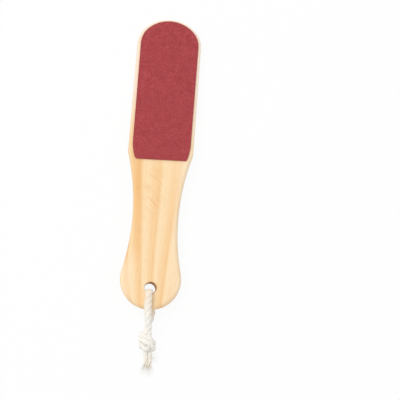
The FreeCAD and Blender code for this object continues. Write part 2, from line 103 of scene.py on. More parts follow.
# Abrasive sheets, with grains to the square metre and turns in radians
FRONT_GRAIN = 0.24
REAR_GRAIN = 0.16
GRAIN_SPACING = 0.42
GRAIN_STRETCH_SHARES = (0.6, 1.1)
DENSEST_GRAINS = 2e7
FACING_COSINE = 0.9
FULL_TURN = 6.28
MERGE_DISTANCE = 0.001
FRONT_SPECKLE = 0.9
REAR_SPECKLE = 0.6
GRIT_DEPTH = 0.2
MOTTLE = 5
MOTTLE_SHARE = 0.35
RIM_WIDTH = (1, 0.4)
RIM_SHARE = 0.8
RIM_BEND = 1
THREAD_SPACING = 0.5
GLUE_STREAK = 4

# Cord, with the radii of the circle round its plies
FRONT_LEG_RADIUS = 3
REAR_LEG_RADIUS = 2.75
HOLE_RADIUS = 2.9
HOLE_SQUEEZE_SHARE = 0.52
KNOT_RADIUS = 2
TAIL_RADIUS = 1.7
TAIL_LENGTH = 10.5

# Where the cord's thickness changes, from its start in the hole and, for the last two, back from its end
HOLE_END = 3
LEG_START = 10
LEG_END = 20
KNOT_START = 40
KNOT_END = 20
TAIL_START = 12

# Plies of the cord, each a bundle of twisted yarns, and their splay at the cord's end
PLIES = 3
PLY_OFFSET_SHARE = 0.39
PLY_RADIUS_SHARE = 0.62
PLY_SIDES = 24
LAY_LENGTH = 15
YARNS = 6
YARN_LAY_LENGTH = 6
YARN_DEPTH_SHARE = 0.12
SECTION_SPACING = 0.35
SPLAY_LENGTH = 6
SPLAY_WIDENING_SHARE = 0.6
SPLAY_THINNING_SHARE = 0.6

# Painted shade in the grooves: its share on the cord's line, what it loses one radius out, and between
# yarns
GROOVE_SHARE = 1.3
GROOVE_LOSS_SHARE = 1.5
YARN_GROOVE_SHARE = 0.2

# Cotton: fibre lines on the yarns, and the creamier stretches along the cord
FIBRE_LINES_PER_RADIAN = 7
FIBRE_LINE_LENGTH = 2.5
YARN_FIBRE_DEPTH = 0.2
CREAMY_LEG_Y = (-122, -106)
CREAMY_ENDS_Y = (-143, -150)

# Loose fibres: fuzz all along the cord, a frayed brush on each tail, and strays beside the right tail.
# Real fibres are too fine to show, so each one here stands for a few.
FUZZ = {"Reach": 1000 * MM, "Lean": 0.4, "Density": 7e5, "Length": 1.4 * MM, "Thickness": 0.015 * MM}
FRAY = {"Reach": 5 * MM, "Lean": 0.85, "Density": 2.5e6, "Length": 8 * MM, "Thickness": 0.013 * MM}
STRAYS = {"Reach": 3 * MM, "Lean": 0.9, "Density": 3e5, "Length": 8 * MM, "Thickness": 0.03 * MM}
STRAY_HEADING = (1, -0.5, 0.2)
STRAY_SEED = 5
STRAY_SECTIONS_FROM_END = 30
TAIL_HEADING_SECTIONS = 9
FRONT_FRAY_SPREAD = (-0.3, 0, 0)
REAR_FRAY_SPREAD = (0.1, 0, 0)
FIBRE_SCATTER_SHARE = 0.4
SHORTEST_FIBRE_SHARE = 0.4
FIBRE_CURL = 3
FIBRE_LIFT = 0.1

# Legs of the cord, from the middle of the hole to their last bend above the knot
FRONT_LEG = ((-0.35, -98.3, 9.85), (-0.8, -98.4, 17.9), (-1, -108.5, 17.5), (-0.2, -119, 17.5))
REAR_LEG = ((-0.35, -98.3, 9.85), (-0.4, -98.4, 2.9), (3, -108.5, 3), (3.6, -116.9, 3))

# Knot routes as shares of the strand pitch: along the cord, across it, and up from the knot's middle
KNOT_MIDDLE = (1, -137.1, 7.5)
STRAND_PITCH = 3.2
FRONT_ENTRY_SHARES = ((-1.9, 0.5, 0.55),)
REAR_ENTRY_SHARES = ((-2.5, -0.5, 0.5),)
LOWER_OUTER_TURN_SHARES = (
    (0.6, 0.5, 0.5),
    (1.5, 0.35, 0.6),
    (1.5, -0.4, 0.6),
    (0.8, -0.85, 0.35),
    (0.6, -1, -0.5),
)
LOWER_INNER_TURN_SHARES = ((0.2, -0.5, 0.5), (0.7, -0.6, 0.4), (0.4, -1, 0.25), (0.35, -1.2, -0.5))
UPPER_OUTER_TURN_SHARES = (
    (-1.75, -1.35, 0.45),
    (-1.95, -0.85, -0.45),
    (-1.75, 0, -0.5),
    (-0.6, 0.5, -0.5),
)
UPPER_INNER_TURN_SHARES = ((-0.8, -1.6, 0.45), (-0.95, -1.2, -0.4), (-0.2, -0.5, -0.5))
WRAP_CLIMB_SHARES = (-0.3, 0, 0.3, 0.2, -0.3, -0.9, -1.45)
WRAP_RADIUS_SHARE = 1.79
WRAP_STEP = math.pi / 4
OUTER_STRAND_SHARE = 1.12
LEFT_TAIL_SHARES = ((1.4, 0, -0.6), (2.6, 0.1, -0.9))
RIGHT_TAIL_SHARES = ((1.4, 0.95, -0.6), (2.6, 1.05, -0.9))


# Shared helpers


def colour(text):
    """Linear colour of an sRGB hex value."""
    parts = (int(text[at:at + 2], 16) / 255 for at in (1, 3, 5))
    return (*(c / 12.92 if c <= 0.04045 else ((c + 0.055) / 1.055) ** 2.4 for c in parts), 1)


def inverse(sizes):
    """Scale that brings a pattern's cells from these sizes to unit size."""
    return tuple(1 / size for size in sizes)


def add(tree, kind, inputs=(), stops=(), **settings):
    """Add a node with its settings and colour stops, and set or link its inputs by name or number.

    A Mix node has its share at input 0, its vectors at 4 and 5 and its colours at 6 and 7.
    Its mixed vector is output 1 and its mixed colour is output 2.
    """
    node = tree.nodes.new(kind)
    for name, value in settings.items():
        setattr(node, name, value)
    for place, value in dict(inputs).items():
        if isinstance(value, bpy.types.NodeSocket):
            tree.links.new(value, node.inputs[place])
        else:
            node.inputs[place].default_value = value
    if stops:
        elements = node.color_ramp.elements
        while len(elements) < len(stops):
            elements.new(1)
        for element, (place, text) in zip(elements, stops):
            element.position = place
            element.color = colour(text)
    return node


def new_material(name):
    """Empty node material and its tree."""
    material = bpy.data.materials.new(name)
    material.use_nodes = True
    material.node_tree.nodes.clear()
    return material, material.node_tree


def new_object(name, data):
    """Object of the scene with this data."""
    item = bpy.data.objects.new(name, data)
    bpy.context.scene.collection.objects.link(item)
    return item


# Materials


def pine():
    """Sanded bare pine: pale earlywood that deepens to honey latewood with one crisp edge, fine fibres, a
    painted highlight on the sides and painted shade in the hole.
    """
    material, tree = new_material("sanded_pine")
    place = add(tree, "ShaderNodeTexCoord").outputs["Object"]
    axis = Vector(frame["joints"][0]["axis"])
    level = (math.atan2(axis.y, axis.z), 0, 0)
    board = add(
        tree,
        "ShaderNodeMapping",
        {"Vector": place, "Rotation": level, "Scale": inverse((MM, MM, MM))},
    ).outputs[0]
    parts = add(tree, "ShaderNodeSeparateXYZ", {0: board})
    x, y, z = (parts.outputs[name] for name in "XYZ")

    # Growth rings: their spacing on the face narrows towards the tail, and they lean through the board
    slow = add(tree, "ShaderNodeMapping", {"Vector": board, "Scale": inverse(RING_SWAY_CELL)})
    sway = add(tree, "ShaderNodeTexNoise", {"Vector": slow.outputs[0], "Scale": 1, "Detail": 2})
    swayed = add(
        tree,
        "ShaderNodeMath",
        {0: sway.outputs["Fac"], 1: RING_SWAY, 2: x},
        operation="MULTIPLY_ADD",
    )
    leaned = add(
        tree,
        "ShaderNodeMath",
        {0: z, 1: RING_LEAN_SHARE, 2: swayed.outputs[0]},
        operation="MULTIPLY_ADD",
    )
    shifted = add(tree, "ShaderNodeMath", {0: leaned.outputs[0], 1: RING_START}, operation="SUBTRACT")
    spacing = add(
        tree,
        "ShaderNodeMath",
        {0: y, 1: RING_PITCH_GROWTH_SHARE, 2: RING_PITCH},
        operation="MULTIPLY_ADD",
    )
    rings = add(tree, "ShaderNodeMath", {0: shifted.outputs[0], 1: spacing.outputs[0]}, operation="DIVIDE")
    ring = add(tree, "ShaderNodeMath", {0: rings.outputs[0]}, operation="FRACT")
    bands = add(
        tree,
        "ShaderNodeValToRGB",
        {"Fac": ring.outputs[0]},
        stops=(
            (0, "#909090"),
            (0.08, "#000000"),
            (0.3, "#303030"),
            (0.55, "#C8C8C8"),
            (0.9, "#FFFFFF"),
            (1, "#909090"),
        ),
    )
    fading = add(
        tree,
        "ShaderNodeMapRange",
        {
            "Value": y,
            "From Min": RING_FADING_Y[0],
            "From Max": RING_FADING_Y[1],
            "To Min": 0.85,
            "To Max": 0.3,
        },
    )
    weighed = add(
        tree,
        "ShaderNodeMath",
        {0: bands.outputs["Color"], 1: fading.outputs[0]},
        operation="MULTIPLY",
    )

    # Latewood is a deeper honey on the left of the handle
    honeyed = add(tree, "ShaderNodeMapRange", {"Value": x, "From Min": HONEY_X[0], "From Max": HONEY_X[1]})
    upper = add(
        tree,
        "ShaderNodeMapRange",
        {"Value": y, "From Min": HONEY_Y[0], "From Max": HONEY_Y[1], "To Min": 0.15},
    )
    honey = add(tree, "ShaderNodeMath", {0: honeyed.outputs[0], 1: upper.outputs[0]}, operation="MULTIPLY")
    latewood = add(
        tree,
        "ShaderNodeMix",
        {0: honey.outputs[0], 6: colour("#F6C88E"), 7: colour("#EFB368")},
        data_type="RGBA",
    )
    deepened = add(
        tree,
        "ShaderNodeMath",
        {0: honey.outputs[0], 1: HONEY_DEPTH_SHARE, 2: weighed.outputs[0]},
        operation="MULTIPLY_ADD",
    )
    banded = add(
        tree,
        "ShaderNodeMix",
        {0: deepened.outputs[0], 6: colour("#FBDFB3"), 7: latewood.outputs[2]},
        data_type="RGBA",
    )

    # Painted highlight: paler towards both rounded sides, except where the left one is honey
    wide = add(tree, "ShaderNodeMath", {0: x}, operation="ABSOLUTE")
    outer = add(
        tree,
        "ShaderNodeMapRange",
        {
            "Value": wide.outputs[0],
            "From Min": SIDE_HIGHLIGHT_X[0],
            "From Max": SIDE_HIGHLIGHT_X[1],
            "To Max": 0.6,
        },
    )
    unhoneyed = add(tree, "ShaderNodeMath", {0: 1, 1: honey.outputs[0]}, operation="SUBTRACT")
    outside = add(
        tree,
        "ShaderNodeMath",
        {0: outer.outputs[0], 1: unhoneyed.outputs[0]},
        operation="MULTIPLY",
    )
    edged = add(
        tree,
        "ShaderNodeMix",
        {0: outside.outputs[0], 6: banded.outputs[2], 7: colour("#FEE8C8")},
        data_type="RGBA",
    )

    # Paler towards the head
    sapwood = add(
        tree,
        "ShaderNodeMapRange",
        {"Value": y, "From Min": HEAD_SAPWOOD_Y[0], "From Max": HEAD_SAPWOOD_Y[1], "To Max": 0.75},
    )
    paled = add(
        tree,
        "ShaderNodeMix",
        {0: sapwood.outputs[0], 6: edged.outputs[2], 7: colour("#FFEBDA")},
        data_type="RGBA",
    )

    # Faint figure that crosses the grain on the upper neck
    turned = add(tree, "ShaderNodeMapping", {"Vector": board, "Rotation": (0, 0, FIGURE_TURN)})
    drawn = add(tree, "ShaderNodeMapping", {"Vector": turned.outputs[0], "Scale": inverse(FIGURE_CELL)})
    figure = add(tree, "ShaderNodeTexNoise", {"Vector": drawn.outputs[0], "Scale": 1, "Detail": 2})
    marks = add(
        tree,
        "ShaderNodeMapRange",
        {"Value": figure.outputs["Fac"], "From Min": 0.5, "From Max": 0.64},
    )
    offset = add(tree, "ShaderNodeVectorMath", {0: board, 1: FIGURE_MIDDLE}, operation="SUBTRACT")
    shrunk = add(
        tree,
        "ShaderNodeVectorMath",
        {0: offset.outputs[0], 1: inverse(FIGURE_REACH)},
        operation="MULTIPLY",
    )
    reach = add(tree, "ShaderNodeVectorMath", {0: shrunk.outputs[0]}, operation="LENGTH")
    patch = add(
        tree,
        "ShaderNodeMapRange",
        {"Value": reach.outputs["Value"], "From Min": 1.1, "From Max": 0.5, "To Max": 0.8},
    )
    share = add(tree, "ShaderNodeMath", {0: marks.outputs[0], 1: patch.outputs[0]}, operation="MULTIPLY")
    figured = add(
        tree,
        "ShaderNodeMix",
        {0: share.outputs[0], 6: paled.outputs[2], 7: colour("#F3C48C")},
        data_type="RGBA",
    )

    # Fibre lines along the board, as coarse as they need to be to show
    fibres = add(tree, "ShaderNodeMapping", {"Vector": board, "Scale": inverse(FIBRE_CELL)})
    fibre = add(
        tree,
        "ShaderNodeTexNoise",
        {"Vector": fibres.outputs[0], "Scale": 1, "Detail": 6, "Roughness": 0.7},
    )
    lines = add(
        tree,
        "ShaderNodeValToRGB",
        {"Fac": fibre.outputs["Fac"]},
        stops=((0.3, "#E9D3BC"), (0.5, "#FFFFFF"), (0.75, "#FFF6E6")),
    )
    lined = add(
        tree,
        "ShaderNodeMix",
        {0: FIBRE_LINE_SHARE, 6: figured.outputs[2], 7: lines.outputs["Color"]},
        data_type="RGBA",
        blend_type="MULTIPLY",
    )

    # Short dark resin canals
    canals = add(tree, "ShaderNodeMapping", {"Vector": board, "Scale": inverse(CANAL_CELL)})
    canal = add(tree, "ShaderNodeTexNoise", {"Vector": canals.outputs[0], "Scale": 1, "Detail": 0})
    dashes = add(
        tree,
        "ShaderNodeMapRange",
        {"Value": canal.outputs["Fac"], "From Min": 0.72, "From Max": 0.82, "To Max": 0.4},
    )
    dashed = add(
        tree,
        "ShaderNodeMix",
        {0: dashes.outputs[0], 6: lined.outputs[2], 7: colour("#C98F52")},
        data_type="RGBA",
    )

    # Painted shade on the wall of the drilled hole, darkest on its right
    centred = add(tree, "ShaderNodeVectorMath", {0: board, 1: HOLE_SHADE_MIDDLE}, operation="SUBTRACT")
    flat = add(tree, "ShaderNodeVectorMath", {0: centred.outputs[0], 1: (1, 1, 0)}, operation="MULTIPLY")
    off_axis = add(tree, "ShaderNodeVectorMath", {0: flat.outputs[0]}, operation="LENGTH")
    hole_shade_ring = add(
        tree,
        "ShaderNodeMapRange",
        {"Value": off_axis.outputs["Value"], "From Min": HOLE_SHADE_RADIUS[0], "From Max": HOLE_SHADE_RADIUS[1]},
    )
    sided = add(
        tree,
        "ShaderNodeMapRange",
        {"Value": x, "From Min": HOLE_SHADE_X[0], "From Max": HOLE_SHADE_X[1], "To Min": 0.25},
    )
    painted_hole_shade = add(tree, "ShaderNodeMath", {0: hole_shade_ring.outputs[0], 1: sided.outputs[0]}, operation="MULTIPLY")
    hole_shaded = add(
        tree,
        "ShaderNodeMix",
        {0: painted_hole_shade.outputs[0], 6: dashed.outputs[2], 7: colour("#B68650")},
        data_type="RGBA",
    )

    bump = add(
        tree,
        "ShaderNodeBump",
        {"Strength": 0.15, "Distance": FIBRE_DEPTH * MM, "Height": fibre.outputs["Fac"]},
    )
    shader = add(
        tree,
        "ShaderNodeBsdfPrincipled",
        {"Base Color": hole_shaded.outputs[2], "Roughness": 0.62, "IOR": 1.5, "Normal": bump.outputs[0]},
    )
    add(tree, "ShaderNodeOutputMaterial", {"Surface": shader.outputs["BSDF"]})
    return material


def grit_coat(name, speckle, deep, middle, bright):
    """Aluminium oxide grain in red resin: matt, speckled, with mottled depth of colour and painted shade
    along its rim.
    """
    material, tree = new_material(name)
    place = add(tree, "ShaderNodeTexCoord").outputs["Object"]
    fine = add(tree, "ShaderNodeTexNoise", {"Vector": place, "Scale": 1 / (speckle * MM), "Detail": 3})
    broad = add(tree, "ShaderNodeTexNoise", {"Vector": place, "Scale": 1 / (MOTTLE * MM), "Detail": 2})
    mixed = add(
        tree,
        "ShaderNodeMath",
        {0: broad.outputs["Fac"], 1: MOTTLE_SHARE, 2: fine.outputs["Fac"]},
        operation="MULTIPLY_ADD",
    )
    tint = add(
        tree,
        "ShaderNodeValToRGB",
        {"Fac": mixed.outputs[0]},
        stops=((0.45, deep), (0.68, middle), (0.9, bright)),
    )
    # Painted shade along the rim of the sheet
    rim = add(tree, "ShaderNodeAttribute", attribute_name="rim")
    rim_shaded = add(
        tree,
        "ShaderNodeMix",
        {0: rim.outputs["Fac"], 6: tint.outputs["Color"], 7: colour("#7E3630")},
        data_type="RGBA",
    )
    bump = add(
        tree,
        "ShaderNodeBump",
        {"Strength": 0.6, "Distance": GRIT_DEPTH * MM, "Height": fine.outputs["Fac"]},
    )
    shader = add(
        tree,
        "ShaderNodeBsdfPrincipled",
        {"Base Color": rim_shaded.outputs[2], "Roughness": 0.8, "Normal": bump.outputs[0]},
    )
    add(tree, "ShaderNodeOutputMaterial", {"Surface": shader.outputs["BSDF"]})
    return material


def backing_cloth():
    """Resin-filled cotton twill: dark red-brown where its cut edge shows."""
    material, tree = new_material("resin_filled_cloth")
    place = add(tree, "ShaderNodeTexCoord").outputs["Object"]
    weave = add(
        tree,
        "ShaderNodeTexNoise",
        {"Vector": place, "Scale": 1 / (THREAD_SPACING * MM), "Detail": 2},
    )
    tint = add(
        tree,
        "ShaderNodeValToRGB",
        {"Fac": weave.outputs["Fac"]},
        stops=((0.3, "#5E2A28"), (0.7, "#8A4640")),
    )
    shader = add(tree, "ShaderNodeBsdfPrincipled", {"Base Color": tint.outputs["Color"], "Roughness": 0.85})
    add(tree, "ShaderNodeOutputMaterial", {"Surface": shader.outputs["BSDF"]})
    return material


def dried_glue():
    """Dried hide glue film: amber, half glossy."""
    material, tree = new_material("dried_glue")
    place = add(tree, "ShaderNodeTexCoord").outputs["Object"]
    film = add(tree, "ShaderNodeTexNoise", {"Vector": place, "Scale": 1 / (GLUE_STREAK * MM), "Detail": 2})
    tint = add(
        tree,
        "ShaderNodeValToRGB",
        {"Fac": film.outputs["Fac"]},
        stops=((0.3, "#C9A468"), (0.7, "#DDBE86")),
    )
    shader = add(tree, "ShaderNodeBsdfPrincipled", {"Base Color": tint.outputs["Color"], "Roughness": 0.4})
    add(tree, "ShaderNodeOutputMaterial", {"Surface": shader.outputs["BSDF"]})
    return material


def cotton():
    """Undyed cotton yarn: soft off-white fibre with no gloss, with painted shade deep between the plies."""
    material, tree = new_material("undyed_cotton")
    deep = add(tree, "ShaderNodeAttribute", attribute_name="groove").outputs["Fac"]
    place = add(tree, "ShaderNodeTexCoord").outputs["Object"]

    # Fibre lines that follow the twist of the yarn, coarser than real ones so that they show
    twisted = add(tree, "ShaderNodeAttribute", attribute_name="fibre").outputs["Vector"]
    lines = (FIBRE_LINES_PER_RADIAN, FIBRE_LINES_PER_RADIAN, 1 / FIBRE_LINE_LENGTH)
    drawn = add(tree, "ShaderNodeMapping", {"Vector": twisted, "Scale": lines})
    fibres = add(
        tree,
        "ShaderNodeTexNoise",
        {"Vector": drawn.outputs[0], "Scale": 1, "Detail": 4, "Roughness": 0.65},
    )
    tint = add(
        tree,
        "ShaderNodeValToRGB",
        {"Fac": fibres.outputs["Fac"]},
        stops=((0.33, "#F3EBDD"), (0.5, "#FFFEFA")),
    )

    # Creamier where it comes out of the hole and at its ends
    along = add(tree, "ShaderNodeSeparateXYZ", {0: place}).outputs["Y"]
    handled = add(
        tree,
        "ShaderNodeMapRange",
        {
            "Value": along,
            "From Min": CREAMY_LEG_Y[0] * MM,
            "From Max": CREAMY_LEG_Y[1] * MM,
            "To Min": 0.05,
            "To Max": 0.75,
        },
    )
    ends = add(
        tree,
        "ShaderNodeMapRange",
        {
            "Value": along,
            "From Min": CREAMY_ENDS_Y[0] * MM,
            "From Max": CREAMY_ENDS_Y[1] * MM,
            "To Max": 0.35,
        },
    )
    aged = add(tree, "ShaderNodeMath", {0: handled.outputs[0], 1: ends.outputs[0]}, operation="ADD")
    creamy = add(
        tree,
        "ShaderNodeMix",
        {0: aged.outputs[0], 6: tint.outputs["Color"], 7: colour("#F6E4CC")},
        data_type="RGBA",
    )
    # Painted shade in the grooves between plies and yarns, browner towards the cord's ends
    groove_shade_colour = add(
        tree,
        "ShaderNodeMix",
        {0: ends.outputs[0], 6: colour("#F3E6D2"), 7: colour("#D6B48A")},
        data_type="RGBA",
    )
    shadowed = add(
        tree,
        "ShaderNodeMix",
        {0: deep, 6: creamy.outputs[2], 7: groove_shade_colour.outputs[2]},
        data_type="RGBA",
    )
    bump = add(
        tree,
        "ShaderNodeBump",
        {"Strength": 0.6, "Distance": YARN_FIBRE_DEPTH * MM, "Height": fibres.outputs["Fac"]},
    )
    shader = add(
        tree,
        "ShaderNodeBsdfPrincipled",
        {
            "Base Color": shadowed.outputs[2],
            "Roughness": 0.9,
            "Sheen Weight": 0.2,
            "Sheen Roughness": 0.5,
            "Normal": bump.outputs[0],
        },
    )
    add(tree, "ShaderNodeOutputMaterial", {"Surface": shader.outputs["BSDF"]})
    return material


def loose_cotton():
    """Single cotton fibres: white, and light shines through them."""
    material, tree = new_material("loose_cotton")
    white = colour("#FFFCF5")
    shaded = add(tree, "ShaderNodeBsdfDiffuse", {"Color": white})
    lit = add(tree, "ShaderNodeBsdfTranslucent", {"Color": white})
    mixed = add(tree, "ShaderNodeMixShader", {0: 0.5, 1: shaded.outputs[0], 2: lit.outputs[0]})
    add(tree, "ShaderNodeOutputMaterial", {"Surface": mixed.outputs[0]})
    return material


# Geometry Nodes


def geometry_tree(name, sizes):
    """Geometry Nodes tree with a named input for each size, and its input node's sockets."""
    tree = bpy.data.node_groups.new(name, "GeometryNodeTree")
    tree.interface.new_socket("Geometry", in_out="INPUT", socket_type="NodeSocketGeometry")
    tree.interface.new_socket("Geometry", in_out="OUTPUT", socket_type="NodeSocketGeometry")
    for size, kind in sizes.items():
        tree.interface.new_socket(size, in_out="INPUT", socket_type=kind)
    return tree, add(tree, "NodeGroupInput").outputs


def grown(name, mesh, tree, sizes):
    """Plain mesh object of what a tree grows on a mesh."""
    carrier = new_object(name + "_carrier", mesh)
    modifier = carrier.modifiers.new(name, "NODES")
    modifier.node_group = tree
    sockets = [item for item in tree.interface.items_tree if item.in_out == "INPUT"]
    identifiers = {socket.name: socket.identifier for socket in sockets}
    for size, value in sizes.items():
        modifier[identifiers[size]] = value
    evaluated = carrier.evaluated_get(bpy.context.evaluated_depsgraph_get())
    result = bpy.data.meshes.new_from_object(evaluated)
    carrier.modifiers.remove(modifier)
    bpy.data.objects.remove(carrier)
    result.name = name
    return new_object(name, result)


# Cord


def wrap_shares(lower):
    """One turn round the core of the knot, this much further down it."""
    places = []
    for step, climb in enumerate(WRAP_CLIMB_SHARES, start=1):
        angle = math.pi + step * WRAP_STEP
        across = WRAP_RADIUS_SHARE * math.cos(angle)
        places.append((climb + lower, across, WRAP_RADIUS_SHARE * math.sin(angle)))
    return tuple(places)


def cord_route(leg, shares):
    """Route of half the cord in metres: hole, leg, knot and tail."""
    middle = Vector(KNOT_MIDDLE)
    points = [Vector(point) for point in leg]
    points += [middle + Vector((across, -along, up)) * STRAND_PITCH for along, across, up in shares]
    points.append(points[-1] + (points[-1] - points[-2]).normalized() * TAIL_LENGTH)
    return [point * MM for point in points]


def spline_points(route):
    """Points of the smooth line that has the route's points as its control points."""
    curve = bpy.data.curves.new("cord_line", "CURVE")
    curve.dimensions = "3D"
    curve.resolution_u = 24
    spline = curve.splines.new("NURBS")
    spline.points.add(len(route) - 1)
    for point, place in zip(spline.points, route):
        point.co = (*place, 1)
    spline.order_u = 3
    spline.use_endpoint_u = True
    carrier = bpy.data.objects.new("cord_line", curve)
    mesh = bpy.data.meshes.new_from_object(carrier)
    points = np.array([vertex.co for vertex in mesh.vertices])
    bpy.data.meshes.remove(mesh)
    bpy.data.objects.remove(carrier)
    bpy.data.curves.remove(curve)
    return points


def evenly(points, spacing):
    """A line's points at even spacing, and how far along the line each one is."""
    steps = np.linalg.norm(np.diff(points, axis=0), axis=1)
    along = np.concatenate([[0], np.cumsum(steps)])
    places = np.linspace(0, along[-1], round(along[-1] / spacing) + 1)
    return np.stack([np.interp(places, along, points[:, axis]) for axis in range(3)], axis=1), places


def carried_normals(points):
    """Two unit normals at each point of a line, carried along it without twist."""
    tangents = np.gradient(points, axis=0)
    tangents /= np.linalg.norm(tangents, axis=1)[:, None]
    normal = np.cross(tangents[0], (1, 0, 0))
    normals = []
    for tangent in tangents:
        normal = normal - tangent * (normal @ tangent)
        normal /= np.linalg.norm(normal)
        normals.append(normal)
    normals = np.array(normals)
    return normals, np.cross(tangents, normals)


def eased(places, start, end):
    """Smooth step from 0 to 1 between two places."""
    share = np.clip((places - start) / (end - start), 0, 1)
    return share * share * (3 - 2 * share)


def squeezed(line, rings, shares):
    """Moves that flatten rings, square to the paddle's width, to a share of their thickness."""
    normals = np.cross(np.gradient(line, axis=0), (1, 0, 0))
    normals /= np.linalg.norm(normals, axis=1)[:, None]
    heights = np.einsum("ijk,ik->ij", rings - line[:, None], normals)
    return (heights * (shares - 1)[:, None])[:, :, None] * normals[:, None]


def ply(line, places, radius, turn):
    """One ply that winds round the cord's line: its rings, the painted shade of its grooves and its fibre
    lines.
    """
    first, second = carried_normals(line)
    angle = turn + 2 * math.pi * places / (LAY_LENGTH * MM)
    offset = first * np.cos(angle)[:, None] + second * np.sin(angle)[:, None]
    splay = eased(places, places[-1] - SPLAY_LENGTH * MM, places[-1])
    away = PLY_OFFSET_SHARE * radius * (1 + SPLAY_WIDENING_SHARE * splay)
    middle = line + offset * away[:, None]

    # Section of the ply, with a lobe for each yarn
    first, second = carried_normals(middle)
    sides = np.arange(PLY_SIDES) * 2 * math.pi / PLY_SIDES
    twist = 2 * math.pi * places / (YARN_LAY_LENGTH * MM)
    around = sides[None, :] + twist[:, None]
    lobes = np.abs(np.cos(around * YARNS / 2)) ** 0.5
    thickness = PLY_RADIUS_SHARE * radius * (1 - SPLAY_THINNING_SHARE * splay)
    reach = thickness[:, None] * (1 - YARN_DEPTH_SHARE + YARN_DEPTH_SHARE * lobes)
    ring = first[:, None] * np.cos(sides)[None, :, None] + second[:, None] * np.sin(sides)[None, :, None]
    rings = middle[:, None] + ring * reach[:, :, None]
    outward = np.linalg.norm(rings - line[:, None], axis=2) / radius[:, None]

    # Flatter in the hole, where both halves of the cord meet
    widening = eased(places, HOLE_END * MM, LEG_START * MM)
    rings += squeezed(line, rings, HOLE_SQUEEZE_SHARE + (1 - HOLE_SQUEEZE_SHARE) * widening)

    # Painted shade, darkest deep between the plies and between the yarns, and none where the plies splay
    between_plies = np.clip(GROOVE_SHARE - outward * GROOVE_LOSS_SHARE, 0, 1)
    groove = (between_plies + YARN_GROOVE_SHARE * (1 - lobes)) * (1 - splay)[:, None]
    along = np.broadcast_to(places[:, None] / MM, around.shape)
    fibres = np.stack([np.cos(around), np.sin(around), along], axis=2)
    return rings, np.clip(groove, 0, 1), fibres


def tube_mesh(name, tubes):
    """Closed mesh of tubes, each given as rings of vertices, painted shade of the grooves and fibre lines.
    """
    vertices = []
    faces = []
    for rings, groove, fibres in tubes:
        base = len(vertices)
        count, sides = rings.shape[:2]
        vertices += [tuple(vertex) for vertex in rings.reshape(-1, 3)]
        for ring in range(count - 1):
            low = base + ring * sides
            for side in range(sides):
                after = (side + 1) % sides
                faces.append((low + side, low + after, low + sides + after, low + sides + side))
        faces.append(tuple(base + side for side in reversed(range(sides))))
        faces.append(tuple(base + (count - 1) * sides + side for side in range(sides)))
    mesh = bpy.data.meshes.new(name)
    mesh.from_pydata(vertices, [], faces)
    mesh.shade_smooth()
    grooves = np.concatenate([groove.ravel() for rings, groove, fibres in tubes])
    lines = np.concatenate([fibres.ravel() for rings, groove, fibres in tubes])
    groove_data = mesh.attributes.new("groove", "FLOAT", "POINT").data
    groove_data.foreach_set("value", grooves.astype(np.float32))
    fibre_data = mesh.attributes.new("fibre", "FLOAT_VECTOR", "POINT").data
    fibre_data.foreach_set("vector", lines.astype(np.float32))
    return mesh


def cord_half(name, leg, leg_radius, shares, material):
    """Half of the cord as twisted plies, and the line that it follows."""
    line, places = evenly(spline_points(cord_route(leg, shares)), SECTION_SPACING * MM)
    end = places[-1]
    leg_radius *= MM
    knot_radius = KNOT_RADIUS * MM
    hole_radius = HOLE_RADIUS * MM
    widening = eased(places, HOLE_END * MM, LEG_START * MM)
    narrowing = eased(places, LEG_END * MM, KNOT_START * MM)
    thinning = eased(places, end - KNOT_END * MM, end - TAIL_START * MM)
    radius = hole_radius + (leg_radius - hole_radius) * widening + (knot_radius - leg_radius) * narrowing
    radius += (TAIL_RADIUS * MM - knot_radius) * thinning
    tubes = [ply(line, places, radius, 2 * math.pi * number / PLIES) for number in range(PLIES)]
    mesh = tube_mesh(name, tubes)
    mesh.materials.append(material)
    return new_object(name, mesh), line


